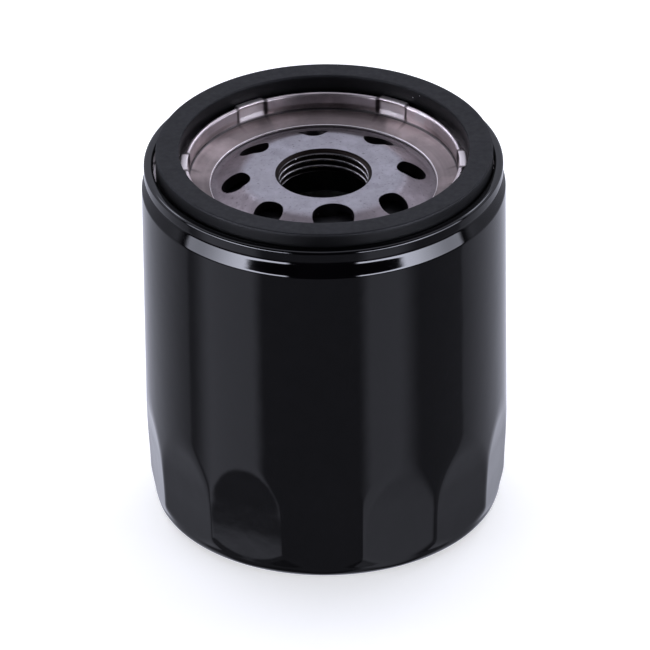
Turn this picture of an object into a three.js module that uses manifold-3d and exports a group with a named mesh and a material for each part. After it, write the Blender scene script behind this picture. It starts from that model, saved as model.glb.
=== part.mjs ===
// Spin-on oil filter for a small engine, in millimetres.
// +Z points from the closed base of the can to the gasket; the origin is the centre of the base.
// Angles are measured about +Z from the front (-Y) towards +X.
import * as THREE from 'three';
import { mergeVertices } from 'three/addons/utils/BufferGeometryUtils.js';
import Module from 'manifold-3d';

const wasm = await Module();
wasm.setup();

// ---- driving dimensions -------------------------------------------------------------------

const HEIGHT = 83.5; // base to the gasket's sealing face

// can: a drawn steel cup with wrench facets at its closed end
const CAN = { radius: 38, sheet: 0.55, segments: 56 };
const RIM = { outer: 36.95, sheet: 0.5, topDepth: 4.2, neckDepth: 5.9 };
const SHOULDER = { depth: 8.8, steps: 3 };
const FACETS = {
  count: 14,
  phaseDeg: 11,
  levels: [4.5, 15, 17.5, 20, 23, 26], // heights of the rows of points, from fully flat to round
  fullRidge: 37.9,
  endRidge: 37.3,
};
const BASE = { outer: 36.9, corner: 3, restInner: 24, recessRadius: 21.5, recessRise: 1.2 };

// lid: the thin seamed sheet that holds the gasket and carries the tapping plate
const LID = { sheet: 0.45, segments: 60, innerEdge: 23.4, innerEdgeDepth: 8.4 };
const SEAM = { outer: 37.5, bottomDepth: 5.5, crestDepth: 3.1, legInner: 35.55, crestRound: 0.5 };
const FLANGE = { inner: 28.2, thickness: 1.0, crestDepth: 3.3, footDepth: 7.05 };
const LUGS = { count: 6, firstDeg: 30, widthDeg: 12, outer: 30.3, headHeight: 1.2, dimple: 0.45 };
const CHANNEL_DEPTH = 6.0;

const GASKET = { outer: 35.2, inner: 30.4, height: 5.8, chamfer: 0.25, segments: 60 };

// tapping plate: the thick domed plate with the thread and the inlet holes
const PLATE = {
  thickness: 2.2,
  segments: 40,
  hubDepth: 6.0,
  hubRadius: 17.3,
  hubRound: 1.6, // width of the ring over which the hub's edge turns down
  hubDrop: 0.35,
  foldRadius: 22.6,
  rimRadius: 26.6,
  rimDepth: 8.95,
  rimCorner: 0.5,
};
const THREAD = {
  crest: 9.2,
  root: 10,
  pitch: 1.5,
  turns: 3,
  mouth: 10.2,
  mouthDepth: 6.25,
  mouthRound: 0.8,
  collar: 12.2,
  collarFillet: 1,
  collarChamfer: 0.5,
};
const INLETS = {
  count: 8,
  phaseDeg: 6.3,
  circle: 18.5,
  radius: 3.2,
  largeCircle: 17,
  largeRadius: 4.35,
  circleDepth: 1, // below the hub's face
  drillLength: 10,
  tiltDeg: 26,
  sides: 12,
};

// rubber anti-drainback valve, between the tapping plate and the element
const VALVE = {
  bore: 12.55,
  collar: 13.6,
  collarFillet: 1,
  crown: 1.5, // width of the ring over which the skirt turns into the collar
  crownDrop: 0.6,
  lipFold: 22.2, // the lip lies flat outside this radius
  lip: 24.4,
  lipSkin: 0.7,
  lipDepth: 11.35,
  skin: 1.2,
  topDepth: 9.0,
  bottomDepth: 17.9,
};

// element: pleated paper between two end caps, on a perforated tube
const ELEMENT = { top: 69.5, bottom: 9.4, outer: 34, sheet: 0.5, skirt: 3.2, segments: 40 };
const BOSS = { top: 72.35, radius: 16.2, foot: 18 };
const NECK = { inner: 14, outer: 14.5, bottom: 67 };
const MEDIA = { outer: 32.6, inner: 16.4, pleats: 32, paper: 0.6, foldOuter: 1.9, foldInner: 1.7 };
const ADHESIVE = { thickness: 1.3, inner: 15.8, outer: 33.2 };
const TUBE = { inner: 14.9, outer: 15.4, columns: 6, rows: 4, holeRadius: 2.2, endMargin: 7 };
const CLIP = { innerHalf: 1.3, sheet: 0.3, outerRadius: 33.05, leg: 3.5 };

// bypass valve, in the middle of the element's lower cap
const CAP_HOLE = 11;
const SEAT = { outer: 13.2, opening: 5.2, lipOuter: 6.2, lipRise: 0.4, sheet: 0.95 };
const SEAL = { inner: 1.9, outer: 7, thickness: 0.9 };
const POPPET = { radius: 7.4, thickness: 0.8 };
const STEM = { radius: 1.3, headRadius: 2.6, headThickness: 0.55, length: 13.2 };
const CAGE = {
  outer: 9.4,
  sheet: 0.6,
  foot: 12.4,
  height: 11.5,
  hole: 1.9,
  windows: 4,
  windowWidth: 7,
  windowHeight: 5.5,
};
const BYPASS_SPRING = { radius: 5.4, wire: 0.5, turns: 4, stepsPerTurn: 14 };

// coil that presses the element up against the tapping plate
const ELEMENT_SPRING = { bottomRadius: 16, topRadius: 13, wire: 0.8, turns: 2.25, stepsPerTurn: 20 };
const COIL_END = { share: 0.16, climb: 0.2 }; // the first and last share of a coil add this much climb

const TOUCH = 0.1; // clearance kept between pieces that rest on one another
const INNER_SEGMENTS = 40;
const SMALL_SEGMENTS = 20;
const TUBE_HOLE_SIDES = 6;
const WIRE_SEGMENTS = 3;
const WELD = 1e-4; // vertices closer than this are one

// ---- materials ----------------------------------------------------------------------------

const finishes = {
  blackPaint: { color: 0x08080a, roughness: 0.16, metalness: 0.0 },
  bareSteel: { color: 0x9c979b, roughness: 0.38, metalness: 1.0 },
  phosphatedSteel: { color: 0x8a868b, roughness: 0.5, metalness: 1.0 },
  springSteel: { color: 0x6f6d70, roughness: 0.35, metalness: 1.0 },
  blackRubber: { color: 0x141417, roughness: 0.6, metalness: 0.0 },
  paper: { color: 0xc9a45c, roughness: 0.9, metalness: 0.0 },
  plastisol: { color: 0xb7483a, roughness: 0.7, metalness: 0.0 },
  sealant: { color: 0x5c5a55, roughness: 0.8, metalness: 0.0 },
};

// ---- helpers ------------------------------------------------------------------------------

const radians = THREE.MathUtils.degToRad;
const below = (depth) => HEIGHT - depth;
const lerp = THREE.MathUtils.lerp;
const smooth = THREE.MathUtils.smoothstep;

// Angle of a point about +Z, from the front (-Y) towards +X, in degrees.
const frontAngle = (x, y) => THREE.MathUtils.radToDeg(Math.atan2(x, -y));

// Distance in degrees from an angle to the nearest of count directions, the first of them at phase.
function offsetFromNearest(angle, count, phase) {
  const pitch = 360 / count;
  const turns = (angle - phase) / pitch;
  return (turns - Math.round(turns)) * pitch;
}

// Points [r, z] of a quarter turn of an ellipse from one end of it to the other.
function arc(centreR, centreZ, radiusR, radiusZ, fromDeg, toDeg, steps) {
  return Array.from({ length: steps + 1 }, (_, i) => {
    const angle = radians(lerp(fromDeg, toDeg, i / steps));
    return [centreR + radiusR * Math.cos(angle), centreZ + radiusZ * Math.sin(angle)];
  });
}

// Revolves an outline of [r, z] points about +Z. The outline runs counter-clockwise with r to the
// right and z up, and either closes on itself or starts and ends on the axis.
function revolve(outline, segments) {
  const points = outline.map(([r, z]) => new THREE.Vector2(r, z));
  const onAxis = points[0].x === 0 && points.at(-1).x === 0;
  if (!onAxis) points.push(points[0].clone());
  const geometry = new THREE.LatheGeometry(points, segments);
  geometry.rotateX(Math.PI / 2);
  return geometry;
}

// Moves every vertex in or out: radiusOf(radius, angle, z) gives its new distance from the axis.
function reshape(geometry, radiusOf) {
  const position = geometry.getAttribute('position');
  for (let i = 0; i < position.count; i += 1) {
    const x = position.getX(i);
    const y = position.getY(i);
    const radius = Math.hypot(x, y);
    if (radius > 0) {
      const scale = radiusOf(radius, frontAngle(x, y), position.getZ(i)) / radius;
      position.setXY(i, x * scale, y * scale);
    }
  }
  return geometry;
}

function toSolid(geometry) {
  const bare = geometry.clone();
  bare.deleteAttribute('normal');
  bare.deleteAttribute('uv');
  const merged = mergeVertices(bare, WELD);
  const index = merged.getIndex();
  return new wasm.Manifold(new wasm.Mesh({
    numProp: 3,
    vertProperties: Float32Array.from(merged.getAttribute('position').array),
    triVerts: Uint32Array.from(index.array),
  }));
}

function toGeometry(solid) {
  const mesh = solid.getMesh();
  const geometry = new THREE.BufferGeometry();
  const corners = Float32Array.from(mesh.vertProperties);
  geometry.setAttribute('position', new THREE.BufferAttribute(corners, 3));
  geometry.setIndex(Array.from(mesh.triVerts));
  geometry.computeVertexNormals();
  return geometry;
}

// Cuts every tool out of a geometry.
function cut(geometry, tools) {
  const solid = tools.reduce((body, tool) => body.subtract(toSolid(tool)), toSolid(geometry));
  return toGeometry(solid);
}

// A rod along +Z, centred on its own middle.
function rod(radius, length, segments) {
  const geometry = new THREE.CylinderGeometry(radius, radius, length, segments);
  geometry.rotateX(Math.PI / 2);
  return geometry;
}

// A round wire wound about +Z from one height to another, with its radius changing evenly.
function coil(wire, startRadius, endRadius, bottom, top, turns, stepsPerTurn) {
  const { share, climb } = COIL_END;
  class Helix extends THREE.Curve {
    getPoint(t) {
      const angle = t * turns * 2 * Math.PI;
      const radius = lerp(startRadius, endRadius, t);
      const ends = smooth(t, 0, share) + smooth(t, 1 - share, 1);
      const z = lerp(bottom, top, climb * ends + (1 - 2 * climb) * t);
      return new THREE.Vector3(radius * Math.sin(angle), -radius * Math.cos(angle), z);
    }
  }
  const section = new THREE.Shape();
  section.absarc(0, 0, wire, 0, 2 * Math.PI, false);
  return new THREE.ExtrudeGeometry(section, {
    steps: Math.round(turns * stepsPerTurn),
    curveSegments: WIRE_SEGMENTS,
    extrudePath: new Helix(),
  });
}

const group = new THREE.Group();

function add(name, geometry, finish) {
  const mesh = new THREE.Mesh(geometry, new THREE.MeshStandardMaterial(finish));
  mesh.name = name;
  group.add(mesh);
}

// ---- can ----------------------------------------------------------------------------------

const facetEnd = FACETS.levels[0];
const facetFull = FACETS.levels[1];
const facetTop = FACETS.levels.at(-1);

// Outer radius of the can along the facet ridges, from the straight wall down to the base corner.
function ridgeRadius(z) {
  if (z >= facetFull) {
    return lerp(FACETS.fullRidge, CAN.radius, smooth(z, facetFull, facetTop));
  }
  return lerp(FACETS.endRidge, FACETS.fullRidge, (z - facetEnd) / (facetFull - facetEnd));
}

// Share by which the facets are formed at a height: 0 is round, 1 is flat from ridge to ridge.
function facetShare(z) {
  const fadeIn = 1 - smooth(z, facetFull, facetTop);
  const fadeOut = smooth(z, 0, BASE.corner);
  return fadeIn * fadeOut;
}

function pressFacets(radius, angle, z) {
  const half = 180 / FACETS.count;
  const offset = offsetFromNearest(angle, FACETS.count, FACETS.phaseDeg + half);
  const flat = Math.cos(radians(half)) / Math.cos(radians(offset));
  return radius * lerp(1, flat, facetShare(z));
}

function canShell() {
  const shoulderTop = below(RIM.neckDepth);
  const shoulderFoot = below(SHOULDER.depth);
  const shoulderHeight = shoulderTop - shoulderFoot;
  const shoulderWidth = CAN.radius - RIM.outer;
  const rimInner = RIM.outer - RIM.sheet;
  const outerCorner = arc(BASE.outer - BASE.corner, BASE.corner, BASE.corner, BASE.corner, -90, 0, 3);
  const innerCorner = arc(BASE.outer - BASE.corner, BASE.corner, BASE.corner - CAN.sheet,
    BASE.corner - CAN.sheet, -90, 0, 2).reverse();
  const innerLevels = FACETS.levels.filter((z, i) => i % 2 === 0).reverse();
  const outline = [
    [0, BASE.recessRise],
    [BASE.recessRadius, BASE.recessRise],
    [BASE.restInner, 0],
    ...outerCorner,
    ...FACETS.levels.map((z) => [ridgeRadius(z), z]),
    ...arc(RIM.outer, shoulderFoot, shoulderWidth, shoulderHeight, 0, 90, SHOULDER.steps),
    [RIM.outer, below(RIM.topDepth)],
    [rimInner, below(RIM.topDepth)],
    [rimInner, shoulderTop - CAN.sheet],
    [CAN.radius - CAN.sheet, shoulderFoot],
    ...innerLevels.map((z) => [ridgeRadius(z) - CAN.sheet, z]),
    ...innerCorner,
    [BASE.restInner, CAN.sheet],
    [BASE.recessRadius, BASE.recessRise + CAN.sheet],
    [0, BASE.recessRise + CAN.sheet],
  ];
  return reshape(revolve(outline, CAN.segments), pressFacets);
}

// ---- lid, seam and gasket -----------------------------------------------------------------

// Presses the gasket-holding lugs out of the flange: the head of the flange moves out to the
// gasket's bore and its inner face is dimpled.
function pressLugs(radius, angle, z) {
  const onFlange = radius > FLANGE.inner - TOUCH && radius < FLANGE.inner + FLANGE.thickness + TOUCH;
  const offset = Math.abs(offsetFromNearest(angle, LUGS.count, LUGS.firstDeg));
  if (!onFlange || offset > LUGS.widthDeg / 2 + TOUCH) return radius;
  const outerFace = radius > FLANGE.inner + FLANGE.thickness / 2;
  const onHead = z > below(FLANGE.crestDepth + LUGS.headHeight) - TOUCH;
  if (outerFace) return onHead ? LUGS.outer : radius;
  return z > below(FLANGE.footDepth) + TOUCH ? radius + LUGS.dimple : radius;
}

function seamingLid() {
  const floor = below(CHANNEL_DEPTH);
  const flangeOuter = FLANGE.inner + FLANGE.thickness;
  const crest = below(FLANGE.crestDepth);
  const seamTop = below(SEAM.crestDepth);
  const seamRoundIn = SEAM.legInner + SEAM.crestRound;
  const seamRoundOut = SEAM.outer - SEAM.crestRound;
  const hookInner = SEAM.outer - LID.sheet;
  const legOuter = SEAM.legInner + LID.sheet;
  const outline = [
    [LID.innerEdge, below(LID.innerEdgeDepth) - LID.sheet],
    [FLANGE.inner + LID.sheet, below(FLANGE.footDepth) - LID.sheet],
    [SEAM.legInner - LID.sheet, floor - LID.sheet],
    [legOuter, floor - LID.sheet + TOUCH],
    [legOuter, seamTop - LID.sheet],
    [hookInner, seamTop - LID.sheet],
    [hookInner, below(SEAM.bottomDepth)],
    [SEAM.outer, below(SEAM.bottomDepth) + TOUCH],
    ...arc(seamRoundOut, seamTop - SEAM.crestRound, SEAM.crestRound, SEAM.crestRound, 0, 90, 2),
    ...arc(seamRoundIn, seamTop - SEAM.crestRound, SEAM.crestRound, SEAM.crestRound, 90, 180, 2),
    [SEAM.legInner, floor],
    [flangeOuter, floor],
    [flangeOuter, crest - LUGS.headHeight],
    [flangeOuter, crest - TOUCH],
    [FLANGE.inner, crest],
    [FLANGE.inner, crest - LUGS.headHeight],
    [FLANGE.inner, below(FLANGE.footDepth)],
    [LID.innerEdge, below(LID.innerEdgeDepth)],
  ];
  return reshape(revolve(outline, LID.segments), pressLugs);
}

function seamSealant() {
  const top = below(SEAM.crestDepth) - LID.sheet - TOUCH;
  const bottom = below(RIM.topDepth) + TOUCH;
  const inner = SEAM.legInner + LID.sheet + 2 * TOUCH;
  const outer = SEAM.outer - LID.sheet - 2 * TOUCH;
  return revolve([[inner, bottom], [outer, bottom], [outer, top], [inner, top]], LID.segments);
}

function sealingGasket() {
  const { outer, inner, chamfer } = GASKET;
  const bottom = HEIGHT - GASKET.height;
  return revolve([
    [inner, bottom],
    [outer, bottom],
    [outer, HEIGHT - chamfer],
    [outer - chamfer, HEIGHT],
    [inner + chamfer, HEIGHT],
    [inner, HEIGHT - chamfer],
  ], GASKET.segments);
}

// ---- tapping plate ------------------------------------------------------------------------

// Angle and radius of inlet hole i; the first one, at the front, is the large one.
function inlet(i) {
  const large = i === 0;
  return {
    angle: radians(INLETS.phaseDeg + (i * 360) / INLETS.count),
    circle: large ? INLETS.largeCircle : INLETS.circle,
    radius: large ? INLETS.largeRadius : INLETS.radius,
  };
}

// The thread is a stack of rings, one crest and one root to every pitch, that starts and ends on a
// crest a quarter of a pitch long.
function tappingPlate() {
  const top = below(PLATE.hubDepth);
  const under = top - PLATE.thickness;
  const rim = below(PLATE.rimDepth);
  const rimUnder = rim - PLATE.thickness;
  const { crest, root, pitch, turns, mouth, collar } = THREAD;
  const threadStart = below(THREAD.mouthDepth);
  const threadEnd = threadStart - (turns + 0.5) * pitch;
  const ridges = Array.from({ length: turns }, (_, i) => {
    const z = threadStart - i * pitch;
    return [[crest, z - 0.25 * pitch], [root, z - 0.75 * pitch]];
  }).flat();
  const outline = [
    [crest, threadEnd],
    [collar - THREAD.collarChamfer, threadEnd],
    [collar, threadEnd + THREAD.collarChamfer],
    [collar, under - THREAD.collarFillet],
    [collar + THREAD.collarFillet, under],
    [PLATE.hubRadius - PLATE.rimCorner, under],
    [PLATE.foldRadius - PLATE.rimCorner, rimUnder],
    [PLATE.rimRadius, rimUnder],
    [PLATE.rimRadius, rim - PLATE.rimCorner],
    [PLATE.rimRadius - PLATE.rimCorner, rim],
    [PLATE.foldRadius, rim],
    [PLATE.hubRadius, top - PLATE.hubDrop],
    [PLATE.hubRadius - PLATE.hubRound, top],
    [mouth + THREAD.mouthRound, top],
    [mouth, top - TOUCH],
    ...ridges,
    [crest, threadStart - (turns + 0.25) * pitch],
  ];
  const holes = Array.from({ length: INLETS.count }, (_, i) => {
    const { angle, circle, radius } = inlet(i);
    const drill = rod(radius, INLETS.drillLength, INLETS.sides);
    drill.rotateX(radians(INLETS.tiltDeg));
    drill.translate(0, -circle, top - INLETS.circleDepth);
    drill.rotateZ(angle);
    return drill;
  });
  return cut(revolve(outline, PLATE.segments), holes);
}

// ---- anti-drainback valve -----------------------------------------------------------------

function drainbackValve() {
  const { bore, collar, collarFillet, crown, crownDrop, lipFold, lip, lipSkin, skin } = VALVE;
  const top = below(VALVE.topDepth);
  const bottom = below(VALVE.bottomDepth);
  const lipTop = below(VALVE.lipDepth);
  return revolve([
    [bore, bottom],
    [collar, bottom],
    [collar, top - skin - crownDrop - TOUCH],
    [collar + collarFillet, top - skin - crownDrop],
    [lipFold, lipTop - lipSkin],
    [lip, lipTop - lipSkin],
    [lip, lipTop],
    [lipFold, lipTop],
    [collar + crown, top - crownDrop],
    [bore, top],
  ], INNER_SEGMENTS);
}

// ---- element ------------------------------------------------------------------------------

const adhesiveTop = ELEMENT.top - ELEMENT.sheet - TOUCH;
const adhesiveBottom = ELEMENT.bottom + ELEMENT.sheet + TOUCH;
const mediaTop = adhesiveTop - ADHESIVE.thickness - TOUCH;
const mediaBottom = adhesiveBottom + ADHESIVE.thickness + TOUCH;

function topEndCap() {
  const { top, outer, sheet, skirt, segments } = ELEMENT;
  return revolve([
    [NECK.inner, NECK.bottom],
    [NECK.outer, NECK.bottom],
    [NECK.outer, BOSS.top - sheet],
    [BOSS.radius - sheet / 2, BOSS.top - sheet],
    [BOSS.foot - sheet / 2, top - sheet],
    [outer - sheet, top - sheet],
    [outer - sheet, top - skirt],
    [outer, top - skirt],
    [outer, top],
    [BOSS.foot, top],
    [BOSS.radius, BOSS.top],
    [NECK.inner, BOSS.top],
  ], segments);
}

function bottomEndCap() {
  const { bottom, outer, sheet, skirt, segments } = ELEMENT;
  return revolve([
    [CAP_HOLE, bottom],
    [outer, bottom],
    [outer, bottom + skirt],
    [outer - sheet, bottom + skirt],
    [outer - sheet, bottom + sheet],
    [CAP_HOLE, bottom + sheet],
  ], segments);
}

function adhesiveRing(bottom) {
  const top = bottom + ADHESIVE.thickness;
  return revolve([
    [ADHESIVE.inner, bottom],
    [ADHESIVE.outer, bottom],
    [ADHESIVE.outer, top],
    [ADHESIVE.inner, top],
  ], INNER_SEGMENTS);
}

// Extrudes a shape over the height of the paper.
function standUp(shape) {
  const depth = mediaTop - mediaBottom;
  const geometry = new THREE.ExtrudeGeometry(shape, { depth, bevelEnabled: false });
  geometry.translate(0, 0, mediaBottom);
  return geometry;
}

// The four corners of one pleat on one side of the paper: across its outer fold, then its inner fold.
function pleatCorners(k, outerRadius, outerWidth, innerRadius, innerWidth) {
  const pitch = (2 * Math.PI) / MEDIA.pleats;
  const corners = [
    [outerRadius, k * pitch - outerWidth / 2 / outerRadius],
    [outerRadius, k * pitch + outerWidth / 2 / outerRadius],
    [innerRadius, (k + 0.5) * pitch - innerWidth / 2 / innerRadius],
    [innerRadius, (k + 0.5) * pitch + innerWidth / 2 / innerRadius],
  ];
  return corners.map(([radius, angle]) => (
    new THREE.Vector2(radius * Math.sin(angle), -radius * Math.cos(angle))
  ));
}

function pleatedMedia() {
  const { outer, inner, pleats, paper, foldOuter, foldInner } = MEDIA;
  const fold = Array.from({ length: pleats }, (_, k) => k);
  const outside = fold.flatMap((k) => (
    pleatCorners(k, outer, foldOuter, inner + paper, foldInner - 2 * paper)
  ));
  const inside = fold.flatMap((k) => (
    pleatCorners(k, outer - paper, foldOuter - 2 * paper, inner, foldInner)
  ));
  const shape = new THREE.Shape(outside);
  shape.holes.push(new THREE.Path(inside));
  return standUp(shape);
}

// Folded strip that clips the two ends of the pleated paper together along one outer fold.
function mediaSeamClip() {
  const { innerHalf, sheet, outerRadius, leg } = CLIP;
  const outerHalf = innerHalf + sheet;
  const shape = new THREE.Shape([
    [-outerHalf, -outerRadius],
    [outerHalf, -outerRadius],
    [outerHalf, leg - outerRadius],
    [innerHalf, leg - outerRadius],
    [innerHalf, sheet - outerRadius],
    [-innerHalf, sheet - outerRadius],
    [-innerHalf, leg - outerRadius],
    [-outerHalf, leg - outerRadius],
  ].map(([x, y]) => new THREE.Vector2(x, y)));
  return standUp(shape);
}

function centerTube() {
  const { inner, outer, columns, rows, holeRadius, endMargin } = TUBE;
  const wall = revolve([
    [inner, adhesiveBottom],
    [outer, adhesiveBottom],
    [outer, adhesiveTop],
    [inner, adhesiveTop],
  ], INNER_SEGMENTS);
  const first = adhesiveBottom + endMargin;
  const last = adhesiveTop - endMargin;
  const holes = Array.from({ length: columns * rows }, (_, i) => {
    const column = i % columns;
    const row = Math.floor(i / columns);
    const drill = rod(holeRadius, outer, TUBE_HOLE_SIDES);
    drill.rotateX(Math.PI / 2);
    drill.translate(0, -outer, lerp(first, last, row / (rows - 1)));
    drill.rotateZ(((column + (row % 2) / 2) * 2 * Math.PI) / columns);
    return drill;
  });
  return cut(wall, holes);
}

// ---- bypass valve -------------------------------------------------------------------------

const seatBottom = ELEMENT.bottom + ELEMENT.sheet + TOUCH;
const seatTop = seatBottom + SEAT.sheet;
const sealBottom = seatTop + SEAT.lipRise + TOUCH;
const poppetBottom = sealBottom + SEAL.thickness + TOUCH;
const poppetTop = poppetBottom + POPPET.thickness;
const cageBottom = seatTop + TOUCH;
const cageTop = cageBottom + CAGE.height;

function bypassSeat() {
  return revolve([
    [SEAT.opening, seatBottom],
    [SEAT.outer, seatBottom],
    [SEAT.outer, seatTop],
    [SEAT.lipOuter, seatTop],
    [SEAT.lipOuter, seatTop + SEAT.lipRise],
    [SEAT.opening, seatTop + SEAT.lipRise],
  ], SMALL_SEGMENTS);
}

function washer(inner, outer, bottom, thickness) {
  return revolve([
    [inner, bottom],
    [outer, bottom],
    [outer, bottom + thickness],
    [inner, bottom + thickness],
  ], SMALL_SEGMENTS);
}

const bypassSeal = () => washer(SEAL.inner, SEAL.outer, sealBottom, SEAL.thickness);
const bypassPoppet = () => washer(STEM.radius + TOUCH, POPPET.radius, poppetBottom, POPPET.thickness);

function bypassStem() {
  const headTop = sealBottom - TOUCH;
  return revolve([
    [0, headTop - STEM.headThickness],
    [STEM.headRadius, headTop - STEM.headThickness],
    [STEM.headRadius, headTop],
    [STEM.radius, headTop],
    [STEM.radius, headTop + STEM.length],
    [0, headTop + STEM.length],
  ], SMALL_SEGMENTS);
}

function bypassCage() {
  const { outer, sheet, foot, windowWidth, windowHeight, windows, hole } = CAGE;
  const body = revolve([
    [outer - sheet, cageBottom],
    [foot, cageBottom],
    [foot, cageBottom + sheet],
    [outer, cageBottom + sheet],
    [outer, cageTop],
    [hole, cageTop],
    [hole, cageTop - sheet],
    [outer - sheet, cageTop - sheet],
  ], SMALL_SEGMENTS);
  const openings = Array.from({ length: windows }, (_, i) => {
    const opening = new THREE.BoxGeometry(windowWidth, outer, windowHeight);
    opening.translate(0, -outer, (cageBottom + cageTop) / 2);
    opening.rotateZ((i * 2 * Math.PI) / windows);
    return opening;
  });
  return cut(body, openings);
}

function bypassSpring() {
  const { radius, wire, turns, stepsPerTurn } = BYPASS_SPRING;
  const bottom = poppetTop + TOUCH + wire;
  const top = cageTop - CAGE.sheet - TOUCH - wire;
  return coil(wire, radius, radius, bottom, top, turns, stepsPerTurn);
}

function elementSpring() {
  const { bottomRadius, topRadius, wire, turns, stepsPerTurn } = ELEMENT_SPRING;
  const bottom = BASE.recessRise + CAN.sheet + TOUCH + wire;
  const top = ELEMENT.bottom - TOUCH - wire;
  return coil(wire, bottomRadius, topRadius, bottom, top, turns, stepsPerTurn);
}

// ---- assembly -----------------------------------------------------------------------------

add('can_shell', canShell(), finishes.blackPaint);
add('seaming_lid', seamingLid(), finishes.bareSteel);
add('seam_sealant', seamSealant(), finishes.sealant);
add('sealing_gasket', sealingGasket(), finishes.blackRubber);
add('tapping_plate', tappingPlate(), finishes.phosphatedSteel);
add('anti_drainback_valve', drainbackValve(), finishes.blackRubber);
add('top_end_cap', topEndCap(), finishes.bareSteel);
add('top_adhesive', adhesiveRing(adhesiveTop - ADHESIVE.thickness), finishes.plastisol);
add('pleated_media', pleatedMedia(), finishes.paper);
add('media_seam_clip', mediaSeamClip(), finishes.bareSteel);
add('center_tube', centerTube(), finishes.phosphatedSteel);
add('bottom_adhesive', adhesiveRing(adhesiveBottom), finishes.plastisol);
add('bottom_end_cap', bottomEndCap(), finishes.bareSteel);
add('bypass_seat', bypassSeat(), finishes.phosphatedSteel);
add('bypass_seal', bypassSeal(), finishes.blackRubber);
add('bypass_poppet', bypassPoppet(), finishes.bareSteel);
add('bypass_stem', bypassStem(), finishes.springSteel);
add('bypass_cage', bypassCage(), finishes.phosphatedSteel);
add('bypass_spring', bypassSpring(), finishes.springSteel);
add('element_spring', elementSpring(), finishes.springSteel);

export default group;
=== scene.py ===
"""Looks of a spin-on oil filter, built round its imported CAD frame.

Lengths are in metres. Angles round the filter's axis are measured from the front (-Y) towards +X.
"""

import math

import bmesh
import bpy
import numpy as np
from mathutils import Matrix, Vector


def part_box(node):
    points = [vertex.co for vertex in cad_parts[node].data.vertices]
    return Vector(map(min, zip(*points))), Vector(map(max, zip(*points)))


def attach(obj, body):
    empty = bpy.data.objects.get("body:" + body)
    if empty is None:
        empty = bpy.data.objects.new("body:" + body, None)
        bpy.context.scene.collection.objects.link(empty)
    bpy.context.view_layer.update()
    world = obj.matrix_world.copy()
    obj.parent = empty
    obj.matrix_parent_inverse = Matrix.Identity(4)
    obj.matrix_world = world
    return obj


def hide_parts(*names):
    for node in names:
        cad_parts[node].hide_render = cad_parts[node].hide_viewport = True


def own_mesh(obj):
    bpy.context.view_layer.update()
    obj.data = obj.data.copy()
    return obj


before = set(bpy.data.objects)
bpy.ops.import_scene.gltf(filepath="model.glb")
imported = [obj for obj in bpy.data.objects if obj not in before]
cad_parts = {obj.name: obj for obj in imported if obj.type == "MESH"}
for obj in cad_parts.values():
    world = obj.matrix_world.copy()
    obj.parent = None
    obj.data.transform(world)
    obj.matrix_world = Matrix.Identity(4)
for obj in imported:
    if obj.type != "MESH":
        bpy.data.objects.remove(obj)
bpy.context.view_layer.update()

MM = 0.001

# ---- places taken from the frame ----------------------------------------------------------

SHELL_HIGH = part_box("can_shell")[1]
GASKET_LOW, GASKET_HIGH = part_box("sealing_gasket")
LID_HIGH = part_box("seaming_lid")[1]
PLATE_LOW, PLATE_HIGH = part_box("tapping_plate")
VALVE_LOW, VALVE_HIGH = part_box("anti_drainback_valve")

TOP = GASKET_HIGH.z
CAN_RADIUS = SHELL_HIGH.x
RIM_TOP = SHELL_HIGH.z
GASKET_RADIUS = GASKET_HIGH.x
SEAM_RADIUS = LID_HIGH.x
HUB_TOP = PLATE_HIGH.z
COLLAR_BOTTOM = PLATE_LOW.z

# ---- finer sizes of the pressed, turned and moulded shapes ------------------------------------

SHEET = 0.5 * MM
BASE_RADIUS = 36.6 * MM
BASE_REST = 24 * MM
BASE_RECESS = 21.5 * MM
BASE_RISE = 1.2 * MM
CORNER = 2.8 * MM
FACETS = 14
FACET_PHASE = math.radians(11)
FACET_TOP = 26 * MM
PANEL_TOP = FACET_TOP + 4 * MM
SHOULDER_DEPTH = 8.8 * MM
NECK_DEPTH = 6.2 * MM
NECK_RADIUS = 36.9 * MM

SEAM_BOTTOM_DEPTH = 5.5 * MM
SEAM_CREST_DEPTH = 3.0 * MM
SEAM_LEG = 35.55 * MM

FLANGE_INNER = 28.2 * MM
FLANGE_OUTER = 29.2 * MM
FLANGE_CREST_DEPTH = 3.2 * MM
FLANGE_FOOT_DEPTH = 7.0 * MM
FLANGE_BEND = 1.5 * MM
CHANNEL_DEPTH = 6.0 * MM
DISH_EDGE = 23.55 * MM
DISH_EDGE_DEPTH = 8.25 * MM
LUG_ANGLES = [math.radians(angle) for angle in (-148, -91, -30, 30, 91, 149)]
LUG_HALF_WIDTH = math.radians(6.8)
LUG_REACH = 0.85 * MM
LUG_DIMPLE = 0.45 * MM
LUG_HEAD = 1.1 * MM

GASKET_BORE = 30.3 * MM
GASKET_SHIFT = 0.2 * MM

PLATE_SHEET = 2.2 * MM
HUB_RADIUS = 17.0 * MM
FOLD_RADIUS = 22.4 * MM
PLATE_RIM = 26.6 * MM
RIM_DEPTH = 8.75 * MM
THREAD_CREST = 9.25 * MM
THREAD_ROOT = 10.0 * MM
THREAD_PITCH = 1.5 * MM
MOUTH_RADIUS = 10.15 * MM
COLLAR_RADIUS = 12.2 * MM
INLETS = 8
INLET_PHASE = math.radians(6.3)
INLET_CIRCLE = 18.5 * MM
INLET_RADIUS = 3.2 * MM
FRONT_INLET_CIRCLE = 17.0 * MM
FRONT_INLET_RADIUS = 4.35 * MM
INLET_TILT = math.radians(26)
INLET_DEPTH = 1.0 * MM


# ---- mesh helpers -------------------------------------------------------------------------

def mix(a, b, t):
    return a + (b - a) * t


def smooth(low, high, x):
    t = np.clip((x - low) / (high - low), 0, 1)
    return t * t * (3 - 2 * t)


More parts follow.
